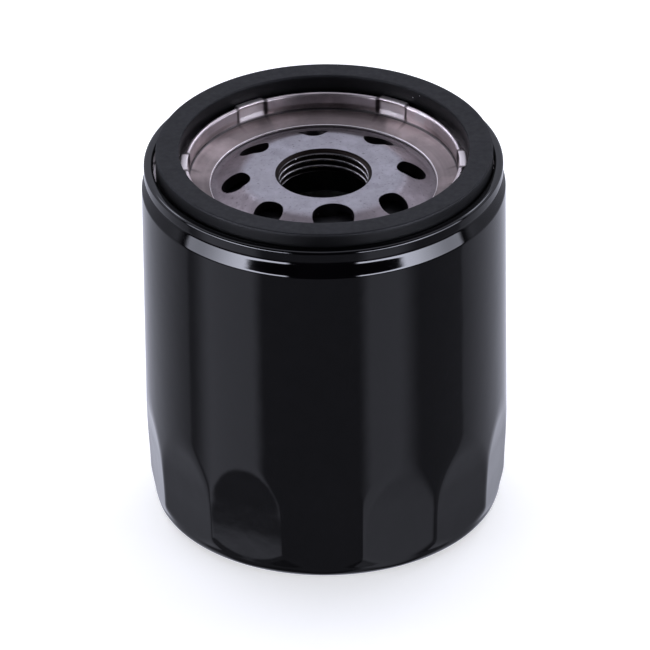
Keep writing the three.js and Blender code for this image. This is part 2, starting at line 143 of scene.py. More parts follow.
def smooth_min(a, b, width):
    """The smaller of a and b, with the change from one to the other rounded over width."""
    t = np.clip(0.5 + 0.5 * (b - a) / width, 0, 1)
    return b + (a - b) * t - width * t * (1 - t)


def nearest_offset(angle, count, phase):
    """Signed angle from the nearest of count evenly spaced directions, the first of them at phase."""
    pitch = 2 * math.pi / count
    return (angle - phase + pitch / 2) % pitch - pitch / 2


def rounded(corners, steps=5):
    """Points (r, z) of a closed outline with corners (r, z, fillet radius)."""
    points = []
    count = len(corners)
    for i, (r, z, fillet) in enumerate(corners):
        here = np.array([r, z])
        back = np.array(corners[i - 1][:2]) - here
        ahead = np.array(corners[(i + 1) % count][:2]) - here
        back_length = np.linalg.norm(back)
        ahead_length = np.linalg.norm(ahead)
        back = back / back_length
        ahead = ahead / ahead_length
        half = math.acos(np.clip(back @ ahead, -1, 1)) / 2
        if fillet <= 0 or half > math.radians(89):
            points.append(here)
            continue
        reach = min(fillet / math.tan(half), 0.48 * back_length, 0.48 * ahead_length)
        radius = reach * math.tan(half)
        middle = back + ahead
        centre = here + middle / np.linalg.norm(middle) * radius / math.sin(half)
        first = here + back * reach - centre
        last = here + ahead * reach - centre
        sweep = math.pi - 2 * half
        for k in range(steps + 1):
            t = k / steps
            arm = (math.sin((1 - t) * sweep) * first + math.sin(t * sweep) * last) / math.sin(sweep)
            points.append(centre + arm)
    return points


def refined(points, spacing, coarse=None, fine_below=None):
    """The closed outline with its long stretches divided so that no step is over spacing.

    Stretches that lie wholly above fine_below may have steps as long as coarse.
    """
    made = []
    for i, point in enumerate(points):
        following = points[(i + 1) % len(points)]
        step = coarse if coarse and min(point[1], following[1]) > fine_below else spacing
        parts = max(1, math.ceil(np.linalg.norm(following - point) / step))
        made += [point + (following - point) * k / parts for k in range(parts)]
    return made


def mesh_object(name, vertices, faces, weld=False):
    mesh = bpy.data.meshes.new(name)
    mesh.from_pydata([tuple(v) for v in vertices], [], faces)
    if weld:
        solid = bmesh.new()
        solid.from_mesh(mesh)
        bmesh.ops.remove_doubles(solid, verts=solid.verts, dist=1e-7)
        solid.to_mesh(mesh)
        solid.free()
    mesh.validate()
    mesh.shade_smooth()
    made = bpy.data.objects.new(name, mesh)
    bpy.context.scene.collection.objects.link(made)
    return made


def revolve(name, outline, segments, shape=None):
    """A closed ring: the outline (r, z), counter-clockwise with r to the right, turned about the axis.

    shape(r, z, angle) takes and gives arrays and may move the points in and out or up and down.
    """
    outline = np.array(outline)
    angles = np.arange(segments) * 2 * math.pi / segments
    r, angle = np.meshgrid(outline[:, 0], angles, indexing="ij")
    z = np.repeat(outline[:, 1:2], segments, axis=1)
    if shape:
        r, z = shape(r, z, angle)
    vertices = np.stack([r * np.sin(angle), -r * np.cos(angle), z], axis=-1).reshape(-1, 3)
    on_axis = outline[0][0] == 0 and outline[-1][0] == 0
    rings = len(outline)
    faces = []
    for j in range(rings - 1 if on_axis else rings):
        low = j * segments
        high = ((j + 1) % rings) * segments
        for i in range(segments):
            k = (i + 1) % segments
            faces.append((low + i, low + k, high + k, high + i))
    return mesh_object(name, vertices, faces, weld=on_axis)


def sharpen(piece, degrees):
    """Shades smooth, apart from edges sharper than the angle."""
    bpy.context.view_layer.objects.active = piece
    for other in bpy.context.selected_objects:
        other.select_set(False)
    piece.select_set(True)
    bpy.ops.object.shade_smooth_by_angle(angle=math.radians(degrees))
    piece.select_set(False)


def cut(piece, cutters):
    """Takes the cutters out of the piece for good."""
    for cutter in cutters:
        modifier = piece.modifiers.new("cut", "BOOLEAN")
        modifier.operation = "DIFFERENCE"
        modifier.solver = "EXACT"
        modifier.object = cutter
    bpy.context.view_layer.update()
    evaluated = piece.evaluated_get(bpy.context.evaluated_depsgraph_get())
    result = bpy.data.meshes.new_from_object(evaluated)
    piece.modifiers.clear()
    piece.data = result
    for cutter in cutters:
        bpy.data.objects.remove(cutter)


# ---- material helpers ---------------------------------------------------------------------

class Shader:
    """A node material with one Principled shader, and short calls for the nodes that feed it."""

    def __init__(self, name, **settings):
        self.material = bpy.data.materials.new(name)
        self.material.use_nodes = True
        self.nodes = self.material.node_tree.nodes
        self.links = self.material.node_tree.links
        self.principled = self.nodes["Principled BSDF"]
        for socket, value in settings.items():
            self.principled.inputs[socket.replace("_", " ")].default_value = value

    def node(self, kind, **inputs):
        made = self.nodes.new(kind)
        for socket, value in inputs.items():
            self.feed(made.inputs[socket.replace("_", " ")], value)
        return made

    def feed(self, socket, value):
        if isinstance(value, bpy.types.NodeSocket):
            self.links.new(value, socket)
        else:
            socket.default_value = value

    def place(self):
        """Position on the piece, in the row frame at rest."""
        return self.node("ShaderNodeTexCoord").outputs["Object"]

    def math(self, operation, a, b=0.0, clamp=False):
        made = self.nodes.new("ShaderNodeMath")
        made.operation = operation
        made.use_clamp = clamp
        self.feed(made.inputs[0], a)
        self.feed(made.inputs[1], b)
        return made.outputs[0]

    def polar(self):
        """Radius, angle about the axis and height of the shaded point."""
        split = self.node("ShaderNodeSeparateXYZ", Vector=self.place()).outputs
        square = self.math("ADD", self.math("MULTIPLY", split["X"], split["X"]),
                           self.math("MULTIPLY", split["Y"], split["Y"]))
        return self.math("SQRT", square), self.math("ARCTAN2", split["X"], split["Y"]), split["Z"]

    def around(self, angle_scale, radius_scale, height_scale):
        """Coordinates that run round the axis, for marks left by turning, drawing and wiping."""
        radius, angle, height = self.polar()
        return self.node(
            "ShaderNodeCombineXYZ",
            X=self.math("MULTIPLY", self.math("SINE", angle), angle_scale),
            Y=self.math("ADD", self.math("MULTIPLY", self.math("COSINE", angle), angle_scale),
                        self.math("MULTIPLY", radius, radius_scale)),
            Z=self.math("MULTIPLY", height, height_scale),
        ).outputs[0]

    def noise(self, scale, detail=4.0, roughness=0.55, where=None):
        made = self.node("ShaderNodeTexNoise", Vector=where or self.place(), Scale=scale, Detail=detail,
                         Roughness=roughness)
        return made.outputs["Fac"]

    def ramp(self, factor, *stops):
        """stops are (position, value or colour)."""
        made = self.nodes.new("ShaderNodeValToRGB")
        self.links.new(factor, made.inputs[0])
        elements = made.color_ramp.elements
        while len(elements) < len(stops):
            elements.new(0.5)
        for element, (position, colour) in zip(elements, stops):
            element.position = position
            colour = (colour,) * 3 if isinstance(colour, (int, float)) else colour
            element.color = (*colour, 1)
        return made.outputs[0]

    def blend(self, factor, a, b, mode="MIX"):
        made = self.nodes.new("ShaderNodeMix")
        made.data_type = "RGBA"
        made.blend_type = mode
        self.feed(made.inputs["Factor"], factor)
        self.feed(made.inputs["A"], a if isinstance(a, bpy.types.NodeSocket) else (*a, 1))
        self.feed(made.inputs["B"], b if isinstance(b, bpy.types.NodeSocket) else (*b, 1))
        return made.outputs["Result"]

    def set(self, socket, value):
        self.feed(self.principled.inputs[socket], value)

    def bump(self, *layers):
        """layers are (height, strength, distance), the finest last."""
        normal = None
        for height, strength, distance in layers:
            made = self.node("ShaderNodeBump", Height=height, Strength=strength, Distance=distance)
            if normal:
                self.links.new(normal, made.inputs["Normal"])
            normal = made.outputs[0]
        self.links.new(normal, self.principled.inputs["Normal"])


def paint(piece, shader):
    piece.data.materials.clear()
    piece.data.materials.append(shader.material)


# ---- materials ----------------------------------------------------------------------------

def black_enamel():
    """Stoved gloss enamel: nearly black, with orange peel and the faint waves of the drawn sheet."""
    s = Shader("black_enamel", Specular_IOR_Level=0.5, IOR=1.5)
    dark, light = (0.0008, 0.0007, 0.0010), (0.0014, 0.0012, 0.0016)
    s.set("Base Color", s.ramp(s.noise(260, 3), (0.3, dark), (0.7, light)))
    s.set("Roughness", s.ramp(s.noise(900, 4), (0.35, 0.055), (0.7, 0.085)))
    s.bump((s.noise(110, 2), 0.10, 0.0004), (s.noise(900, 2), 0.03, 0.0001))
    return s


def bare_sheet():
    """Bare drawn sheet: satin, with painted highlights on the upright flange, the pressed lug faces and the
    dish's inner edge, and painted shade in the dish, in the creases beside the lugs and along the fold at the
    flange foot.
    """
    s = Shader("bare_sheet", Metallic=1.0)
    radius, angle, height = s.polar()
    drawn = s.noise(60, 5, 0.7, s.around(0.006, 9, 9))
    cloud = s.noise(140, 4)
    tone = s.ramp(drawn, (0.3, (0.26, 0.235, 0.235)), (0.7, (0.40, 0.365, 0.37)))
    tone = s.blend(s.ramp(cloud, (0.35, 0.0), (0.75, 0.45)), tone, (0.20, 0.18, 0.178))
    tone = s.blend(s.ramp(s.noise(85, 5), (0.52, 0.0), (0.70, 0.7)), tone, (0.58, 0.52, 0.52))

    # share of the way from the middle of the nearest lug to twice its half width
    nearest = -1.0
    for lug in LUG_ANGLES:
        nearest = s.math("MAXIMUM", nearest, s.math("COSINE", s.math("ADD", angle, lug - math.pi)))
    share = s.math("DIVIDE", s.math("ARCCOSINE", nearest), 2 * LUG_HALF_WIDTH)
    on_flange = s.math("GREATER_THAN", radius, FLANGE_INNER - 0.3 * MM)
    above_foot = s.math("GREATER_THAN", height, TOP - FLANGE_FOOT_DEPTH + 0.3 * MM)
    upright = s.math("MULTIPLY", on_flange, above_foot)
    face = s.math("MULTIPLY", s.ramp(share, (0.38, 1.0), (0.46, 0.0)), upright)
    # painted shade: a dark band in the creases at each side of a lug, running on into the dish
    crease_shade = s.ramp(share, (0.43, 0.0), (0.48, 1.0), (0.54, 1.0), (0.60, 0.0))
    from_foot = s.math("DIVIDE", s.math("SUBTRACT", height, TOP - FLANGE_FOOT_DEPTH - 1 * MM), 2 * MM)
    fold = s.ramp(from_foot, (0.38, 0.0), (0.46, 1.0), (0.58, 1.0), (0.72, 0.0))
    fold = s.math("MULTIPLY", fold, on_flange)
    run = s.ramp(s.math("DIVIDE", radius, 30 * MM), (0.84, 0.0), (0.93, 0.6))
    # painted light: the upright flange is brightened, and the dish is darkened as painted shade
    tone = s.blend(upright, tone, (2.1, 2.05, 2.05), "MULTIPLY")
    tone = s.blend(s.math("SUBTRACT", 1.0, on_flange), tone, (0.68, 0.62, 0.60), "MULTIPLY")
    # painted highlight on the pressed lug faces
    tone = s.blend(face, tone, (0.95, 0.87, 0.86))
    # painted shade in the lug creases
    tone = s.blend(s.math("MULTIPLY", crease_shade, s.math("MAXIMUM", s.math("MULTIPLY", on_flange, 0.85), run)),
                   tone, (0.06, 0.05, 0.05))
    # painted shade along the fold at the flange foot
    tone = s.blend(s.math("MULTIPLY", fold, 0.85), tone, (0.05, 0.042, 0.042))
    # painted highlight: the band at the dish's inner edge is lightened
    edge_highlight = s.math("LESS_THAN", radius, DISH_EDGE + 0.25 * MM)
    tone = s.blend(s.math("MULTIPLY", edge_highlight, 0.8), tone, (0.78, 0.73, 0.73))
    s.set("Base Color", tone)
    s.set("Roughness", s.ramp(s.noise(420, 5), (0.3, 0.30), (0.75, 0.46)))
    s.bump((cloud, 0.12, 0.0004), (drawn, 0.10, 0.00012), (s.noise(2600, 3), 0.10, 0.00006))
    return s


def hole_wall(s, count, circle, radius):
    """1 on the walls of count tilted holes, their centres evenly round a circle, 0 elsewhere."""
    distance, angle, height = s.polar()
    pitch = 2 * math.pi / count
    turned = s.math("SUBTRACT", math.pi - INLET_PHASE + pitch / 2, angle)
    offset = s.math("SUBTRACT", s.math("FLOORED_MODULO", turned, pitch), pitch / 2)
    outward = s.math("SUBTRACT", s.math("MULTIPLY", distance, s.math("COSINE", offset)), circle)
    across = s.math("MULTIPLY", distance, s.math("SINE", offset))
    depth = s.math("SUBTRACT", HUB_TOP - INLET_DEPTH, height)
    along = s.math("ADD", s.math("MULTIPLY", outward, math.cos(INLET_TILT)),
                   s.math("MULTIPLY", depth, math.sin(INLET_TILT)))
    squares = s.math("ADD", s.math("MULTIPLY", along, along), s.math("MULTIPLY", across, across))
    from_axis = s.math("SQRT", squares)
    return s.math("LESS_THAN", from_axis, radius + 0.05 * MM)


def plate_steel():
    """Thick pressed plate: matte and mottled. The thread crests are bright, partly from the tap's cut and
    partly as a painted highlight. Painted shade darkens the outer slope, the inlet hole walls and the thread
    grooves.
    """
    s = Shader("plate_steel", Metallic=1.0)
    radius, _, _ = s.polar()
    share = s.math("DIVIDE", radius, 25 * MM)
    mottle = s.noise(330, 6, 0.65)
    cloud = s.noise(95, 3)
    tone = s.ramp(mottle, (0.3, (0.34, 0.325, 0.35)), (0.72, (0.50, 0.48, 0.52)))
    tone = s.blend(s.ramp(cloud, (0.35, 0.0), (0.7, 0.5)), tone, (0.42, 0.40, 0.42))
    pits = s.ramp(s.noise(1500, 3), (0.30, 1.0), (0.40, 0.0))
    tone = s.blend(s.math("MULTIPLY", pits, 0.6), tone, (0.14, 0.13, 0.135))
    # painted shade: the outer slope and rim are darker and warmer than the hub
    tone = s.blend(s.ramp(share, (0.64, 0.0), (0.72, 1.0)), tone, (0.54, 0.49, 0.48), "MULTIPLY")
    # painted shade on the walls of the inlet holes
    hole_shade = s.math("MAXIMUM", hole_wall(s, INLETS, INLET_CIRCLE, INLET_RADIUS),
                     hole_wall(s, 1, FRONT_INLET_CIRCLE, FRONT_INLET_RADIUS))
    tone = s.blend(s.math("MULTIPLY", hole_shade, 0.9), tone, (0.045, 0.04, 0.04))
    # painted shade: the thread flanks and roots in the bore are darkened
    tone = s.blend(s.ramp(share, (0.4025, 1.0), (0.405, 0.0)), tone, (0.025, 0.019, 0.017))
    # thread crests lighter and smoother: partly cut metal, partly a painted highlight
    crest = s.ramp(share, (0.371, 1.0), (0.377, 0.0))
    s.set("Base Color", s.blend(crest, tone, (0.70, 0.67, 0.68)))
    s.set("Roughness", s.blend(crest, s.ramp(s.noise(700, 5), (0.3, 0.40), (0.75, 0.56)), (0.24, 0.24, 0.24)))
    s.bump((cloud, 0.15, 0.0005), (mottle, 0.16, 0.00022), (s.noise(3000, 3), 0.18, 0.00008))
    return s


def gasket_rubber():
    """Moulded nitrile: matte bluish black with a fine ground face and specks of dust; its sides are darkened
    as painted shade.
    """
    s = Shader("gasket_rubber", Specular_IOR_Level=0.30, IOR=1.5)
    _, _, height = s.polar()
    grain = s.noise(2400, 4)
    tone = s.ramp(s.noise(180, 4), (0.3, (0.0035, 0.0036, 0.0045)), (0.7, (0.0075, 0.0076, 0.0095)))
    dust = s.node("ShaderNodeTexVoronoi", Vector=s.place(), Scale=620).outputs["Distance"]
    sparse = s.math("GREATER_THAN", s.noise(75, 2), 0.69)
    on_side = s.math("LESS_THAN", height, TOP - 0.5 * MM)
    speck = s.math("MULTIPLY", s.math("MULTIPLY", s.math("LESS_THAN", dust, 0.10), sparse), on_side)
    # painted shade: the side walls are darker than the top face
    tone = s.blend(s.math("MULTIPLY", on_side, 0.85), tone, (0.0005, 0.0005, 0.0006))
    s.set("Base Color", s.blend(speck, tone, (0.30, 0.30, 0.31)))
    face = s.ramp(s.noise(800, 4), (0.3, 0.50), (0.7, 0.64))
    s.set("Roughness", s.blend(on_side, face, (0.42, 0.42, 0.42)))
    s.bump((s.noise(420, 3), 0.10, 0.0002), (grain, 0.22, 0.00008))
    return s


def valve_rubber():
    """Smooth moulded nitrile, a little oily."""
    s = Shader("valve_rubber", Specular_IOR_Level=0.5)
    s.set("Base Color", s.ramp(s.noise(300, 4), (0.3, (0.018, 0.018, 0.020)), (0.7, (0.034, 0.033, 0.036))))
    s.set("Roughness", s.ramp(s.noise(500, 4), (0.3, 0.34), (0.7, 0.5)))
    s.bump((s.noise(240, 3), 0.15, 0.0003), (s.noise(1900, 3), 0.12, 0.00006))
    return s


def thin_tinplate():
    """Tin-plated sheet of the end caps and small stampings."""
    s = Shader("thin_tinplate", Metallic=1.0)
    rolled = s.noise(50, 5, 0.7, s.around(0.01, 12, 12))
    s.set("Base Color", s.ramp(rolled, (0.3, (0.50, 0.50, 0.49)), (0.7, (0.64, 0.64, 0.63))))
    s.set("Roughness", s.ramp(s.noise(500, 4), (0.3, 0.30), (0.7, 0.45)))
    s.bump((rolled, 0.10, 0.0001), (s.noise(2000, 3), 0.08, 0.00005))
    return s


def spring_wire():
    """Oiled spring wire with drawing marks and a bluish heat tint."""
    s = Shader("spring_wire", Metallic=1.0)
    tint = s.noise(160, 4)
    s.set("Base Color", s.ramp(tint, (0.3, (0.22, 0.22, 0.24)), (0.7, (0.34, 0.33, 0.33))))
    s.set("Roughness", s.ramp(s.noise(900, 4), (0.3, 0.28), (0.7, 0.44)))
    s.bump((s.noise(1500, 4), 0.15, 0.00006))
    return s


def filter_paper():
    """Resin-treated pleated paper: fibrous, with a darker, lighter cloudiness."""
    s = Shader("filter_paper")
    fibre = s.noise(1800, 8, 0.75)
    s.set("Base Color", s.ramp(fibre, (0.3, (0.55, 0.40, 0.19)), (0.7, (0.78, 0.62, 0.36))))
    s.set("Roughness", s.ramp(s.noise(500, 4), (0.3, 0.8), (0.7, 0.95)))
    s.bump((fibre, 0.4, 0.00015))
    return s


def potting(name, dark, light):
    """Cured filling: smooth, with small bubbles and a skin of uneven gloss."""
    s = Shader(name)
    s.set("Base Color", s.ramp(s.noise(260, 5), (0.3, dark), (0.7, light)))
    s.set("Roughness", s.ramp(s.noise(420, 4), (0.3, 0.5), (0.7, 0.72)))
    bubbles = s.node("ShaderNodeTexVoronoi", Vector=s.place(), Scale=700).outputs["Distance"]
    s.bump((s.noise(150, 3), 0.25, 0.0004), (s.ramp(bubbles, (0.1, 0.0), (0.3, 1.0)), 0.2, 0.0001))
    return s


# ---- can ----------------------------------------------------------------------------------

FACET_ROUND = 0.30 * MM
RIDGE_ROUND = 0.20 * MM
RIM_ROUND = 0.30 * MM
RIM_LEAN = 0.35
# distance of a panel's middle from the axis, at heights above the base
PANEL_HEIGHTS = [height * MM for height in (0, 4, 7.5, 9.5, 12, 14.5, 17.5, 21.3, 25.3, 33)]
PANEL_DISTANCES = [
    reach * MM for reach in (36.28, 36.43, 36.56, 36.65, 36.79, 36.94, 37.13, 37.5, 37.98, 38.6)
]


def smooth_curve(heights, values, z):
    """A smooth line through the points, with the slope at each taken from its two neighbours."""
    heights, values = np.array(heights), np.array(values)
    slopes = np.gradient(values, heights)
    k = np.clip(np.searchsorted(heights, z) - 1, 0, len(heights) - 2)
    width = heights[k + 1] - heights[k]
    t = np.clip((z - heights[k]) / width, 0, 1)
    return ((2 * t**3 - 3 * t**2 + 1) * values[k] + (t**3 - 2 * t**2 + t) * width * slopes[k]
            + (3 * t**2 - 2 * t**3) * values[k + 1] + (t**3 - t**2) * width * slopes[k + 1])


def wall_radius(z, angle):
    """Outside of the can: a cylinder with flat panels pressed in, leaning in towards the base."""
    half = math.pi / FACETS
    offset = np.abs(nearest_offset(angle, FACETS, FACET_PHASE + half))
    flat = smooth_curve(PANEL_HEIGHTS, PANEL_DISTANCES, z)
    panel = smooth_min(flat / np.cos(offset), flat / np.cos(2 * half - offset), RIDGE_ROUND)
    pressed = smooth_min(panel, np.full_like(panel, CAN_RADIUS), FACET_ROUND)
    return np.where(z < PANEL_TOP, pressed, CAN_RADIUS)


def make_can():
    foot = TOP - SHOULDER_DEPTH
    neck = TOP - NECK_DEPTH
    outline = rounded([
        (0, BASE_RISE, 0), (BASE_RECESS, BASE_RISE, 2 * MM), (BASE_REST, 0, 3 * MM),
        (BASE_RADIUS, 0, CORNER), (BASE_RADIUS, FACET_TOP, 0), (CAN_RADIUS, PANEL_TOP, 0),
        (CAN_RADIUS, foot, 1.6 * MM), (NECK_RADIUS, neck, 2.4 * MM), (NECK_RADIUS, RIM_TOP, 0.1 * MM),
        (NECK_RADIUS - SHEET, RIM_TOP, 0.1 * MM), (NECK_RADIUS - SHEET, neck - SHEET / 2, 1.8 * MM),
        (CAN_RADIUS - SHEET, foot - SHEET / 2, 1.2 * MM), (CAN_RADIUS - SHEET, PANEL_TOP, 0),
        (BASE_RADIUS - SHEET, FACET_TOP, 0), (BASE_RADIUS - SHEET, SHEET, CORNER - SHEET),
        (BASE_REST, SHEET, 2.5 * MM), (BASE_RECESS, BASE_RISE + SHEET, 2.5 * MM), (0, BASE_RISE + SHEET, 0),
    ], 10)
    outline = refined(outline, 0.4 * MM, 6 * MM, PANEL_TOP)
    outer_count = int(np.argmax([point[1] for point in outline])) + 1

    def shape(r, z, angle):
        gap = SHEET * (np.arange(len(r))[:, None] >= outer_count)
        rim = np.where(z < CORNER, r + gap, BASE_RADIUS + (z - CORNER) * RIM_LEAN)
        wall = smooth_min(wall_radius(z, angle), rim, RIM_ROUND) - gap
        on_wall = (r > BASE_RADIUS - CORNER) & (z < foot - 3 * MM)
        return np.where(on_wall, wall, r), z

    return revolve("can_body", outline, FACETS * 40, shape)


# ---- lid, seam and gasket ---------------------------------------------------------------------

def lug_share(angle):
    """1 over the middle of a lug, 0 clear of it."""
    offset = np.min([np.abs(nearest_offset(angle, 1, lug)) for lug in LUG_ANGLES], axis=0)
    return 1 - smooth(LUG_HALF_WIDTH - math.radians(1.1), LUG_HALF_WIDTH + math.radians(1.1), offset)


def press_lugs(r, z, angle):
    share = lug_share(angle)
    crest = TOP - FLANGE_CREST_DEPTH
    foot = TOP - FLANGE_FOOT_DEPTH
    middle = (FLANGE_INNER + FLANGE_OUTER) / 2
    near = (r > FLANGE_INNER - 0.3 * MM) & (r < FLANGE_OUTER + 0.3 * MM) & (z > foot + 0.2 * MM)
    head = smooth(crest - LUG_HEAD - 0.5 * MM, crest - LUG_HEAD + 0.2 * MM, z)
    outward = share * head * LUG_REACH
    swell = smooth(foot + 0.2 * MM, foot + 1.6 * MM, z)
    dimple = share * LUG_DIMPLE * swell * (1 - smooth(crest - 0.8 * MM, crest, z))
    moved = np.where(r > middle, r + outward, r + dimple)
    return np.where(near, moved, r), z


def make_lid_pan():
    floor = TOP - CHANNEL_DEPTH
    crest = TOP - FLANGE_CREST_DEPTH
    foot = TOP - FLANGE_FOOT_DEPTH
    edge = TOP - DISH_EDGE_DEPTH
    sheet = 0.45 * MM
    outline = rounded([
        (DISH_EDGE, edge - sheet, 0.1 * MM),
        (FLANGE_INNER + sheet, foot - sheet, 1.2 * MM),
        (SEAM_LEG - 0.05 * MM, floor - sheet, 0),
        (SEAM_LEG - 0.05 * MM, floor, 0),
        (FLANGE_OUTER, floor, 0.4 * MM),
        (FLANGE_OUTER, crest, 0.48 * MM),
        (FLANGE_INNER, crest, 0.48 * MM),
        (FLANGE_INNER - 0.12 * MM, foot + FLANGE_BEND, 0.3 * MM),
        (FLANGE_INNER + 0.12 * MM, foot, 0.5 * MM),
        (DISH_EDGE, edge, 0.30 * MM),
    ], 6)
    return revolve("lid_pan", refined(outline, 0.35 * MM), 720, press_lugs)


def make_seam_band():
    floor = TOP - CHANNEL_DEPTH
    crest = TOP - SEAM_CREST_DEPTH
    bottom = TOP - SEAM_BOTTOM_DEPTH
    sheet = 0.45 * MM
    outline = rounded([
        (SEAM_LEG, floor, 0.1 * MM),
        (SEAM_LEG + sheet, floor, 0.1 * MM),
        (SEAM_LEG + sheet, crest - sheet, 0.3 * MM),
        (SEAM_RADIUS - sheet, crest - sheet, 0.3 * MM),
        (SEAM_RADIUS - sheet, bottom, 0.1 * MM),
        (SEAM_RADIUS, bottom, 0.2 * MM),
        (SEAM_RADIUS, crest, 0.55 * MM),
        (SEAM_LEG, crest, 0.6 * MM),
    ], 8)
    return revolve("seam_band", refined(outline, 0.4 * MM), 360)


def make_gasket():
    bottom = GASKET_LOW.z
    outline = rounded([
        (GASKET_BORE, bottom, 0.3 * MM), (GASKET_RADIUS, bottom, 0.3 * MM),
        (GASKET_RADIUS, TOP, 0.35 * MM), (GASKET_BORE, TOP, 0.25 * MM),
    ], 6)

    def shape(r, z, angle):
        return r + GASKET_SHIFT * np.sin(angle), z

    return revolve("gasket_ring", refined(outline, 0.6 * MM), 360, shape)


# ---- tapping plate ------------------------------------------------------------------------

THREAD_START = math.radians(204)


def thread_radius(z, angle):
    """Right-handed 60 degree thread with flat crests and roots."""
    turn = ((z - HUB_TOP) / THREAD_PITCH - (angle - THREAD_START) / (2 * math.pi)) % 1
    away = np.abs(turn - 0.5) * 2
    return mix(THREAD_CREST, THREAD_ROOT, np.clip((away - 0.24) / (0.88 - 0.24), 0, 1))


def make_plate():
    sheet = PLATE_SHEET
    outline = rounded([
        (THREAD_ROOT, COLLAR_BOTTOM, 0.2 * MM),
        (COLLAR_RADIUS, COLLAR_BOTTOM, 0.5 * MM),
        (COLLAR_RADIUS, HUB_TOP - sheet, 0.9 * MM),
        (HUB_RADIUS - 0.5 * MM, HUB_TOP - sheet, 1.5 * MM),
        (FOLD_RADIUS - 0.5 * MM, TOP - RIM_DEPTH - sheet, 1.2 * MM),
        (PLATE_RIM, TOP - RIM_DEPTH - sheet, 0.4 * MM),
        (PLATE_RIM, TOP - RIM_DEPTH, 0.4 * MM),
        (FOLD_RADIUS, TOP - RIM_DEPTH, 2.4 * MM),
        (HUB_RADIUS, HUB_TOP, 3.2 * MM),
        (MOUTH_RADIUS, HUB_TOP, 0.12 * MM),
        (THREAD_ROOT, HUB_TOP - (MOUTH_RADIUS - THREAD_ROOT), 0),
    ], 9)
    outline = refined(outline, 0.5 * MM)
    bore = [p for p in outline if p[0] <= THREAD_ROOT + 0.01 * MM]
    rest = [p for p in outline if p[0] > THREAD_ROOT + 0.01 * MM]
    high = max(p[1] for p in bore)
    low = COLLAR_BOTTOM + 0.2 * MM
    rings = 90
    fine = [np.array([THREAD_ROOT, mix(high, low, k / rings)]) for k in range(rings + 1)]

    def shape(r, z, angle):
        in_bore = r <= THREAD_ROOT + 0.01 * MM
        cone = MOUTH_RADIUS - (HUB_TOP - z)
        lower_cone = THREAD_ROOT - 0.1 * MM - (z - COLLAR_BOTTOM)
        tapped = np.maximum(thread_radius(z, angle), np.maximum(cone, lower_cone))
        return np.where(in_bore, tapped, r), z

    plate = revolve("threaded_plate", rest + fine, 400, shape)
    cutters = []
    for i in range(INLETS):
        radius = FRONT_INLET_RADIUS if i == 0 else INLET_RADIUS
        circle = FRONT_INLET_CIRCLE if i == 0 else INLET_CIRCLE
        cutter = revolve("cutter", [(0, -8 * MM), (radius, -8 * MM), (radius, 8 * MM), (0, 8 * MM)], 64)
        turn = Matrix.Rotation(INLET_PHASE + i * 2 * math.pi / INLETS, 4, "Z")
        cutter.matrix_world = (turn @ Matrix.Translation((0, -circle, HUB_TOP - INLET_DEPTH))
                               @ Matrix.Rotation(INLET_TILT, 4, "X"))
        cutters.append(cutter)
    cut(plate, cutters)
    return plate


# ---- rubber valve and springs -------------------------------------------------------------

def make_valve():
    low, high = VALVE_LOW.z, VALVE_HIGH.z
    bore = COLLAR_RADIUS + 0.35 * MM
    lip = VALVE_HIGH.x
    lip_top = TOP - 11.35 * MM
    fold = lip - 2.2 * MM
    outline = rounded([
        (bore, low, 0.3 * MM), (bore + 1.05 * MM, low, 0.3 * MM),
        (bore + 1.05 * MM, high - 1.3 * MM, 0.5 * MM), (bore + 4.05 * MM, high - 1.35 * MM, 1 * MM),
        (fold, lip_top - 0.72 * MM, 2 * MM), (lip, lip_top - 0.72 * MM, 0.3 * MM),
        (lip, lip_top, 0.3 * MM), (fold, lip_top, 2 * MM),
        (bore + 3.4 * MM, high - 0.35 * MM, 1.5 * MM), (bore, high, 0.3 * MM),
    ], 5)
    return revolve("drainback_valve", refined(outline, 0.8 * MM), 200)


def make_coil(name, node, wire, low_radius, high_radius, turns):
    """A round wire wound between the node's lowest and highest points, with a closed turn at each end."""
    low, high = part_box(node)
    count = int(turns * 72)
    sides = 14
    vertices = []
    share = 0.16
    for i in range(count + 1):
        t = i / count
        climb = 0.2 * smooth(0, share, t) + 0.6 * t + 0.2 * smooth(1 - share, 1, t)
        radius = mix(low_radius, high_radius, t)
        angle = t * turns * 2 * math.pi
        rise = mix(low.z + wire, high.z - wire, climb)
        centre = Vector((radius * math.sin(angle), -radius * math.cos(angle), rise))
        out = Vector((math.sin(angle), -math.cos(angle), 0))
        for k in range(sides):
            around = k * 2 * math.pi / sides
            vertices.append(centre + wire * (math.cos(around) * out + math.sin(around) * Vector((0, 0, 1))))
    faces = []
    for i in range(count):
        for k in range(sides):
            j = (k + 1) % sides
            faces.append((i * sides + k, i * sides + j, (i + 1) * sides + j, (i + 1) * sides + k))
    faces.append(tuple(range(sides))[::-1])
    faces.append(tuple(count * sides + k for k in range(sides)))
    return mesh_object(name, vertices, faces)


# ---- the model ----------------------------------------------------------------------------

enamel = black_enamel()
sheet_metal = bare_sheet()
rubber = valve_rubber()
tinplate = thin_tinplate()
wire_finish = spring_wire()
cured = potting("plastisol", (0.16, 0.035, 0.02), (0.27, 0.07, 0.045))

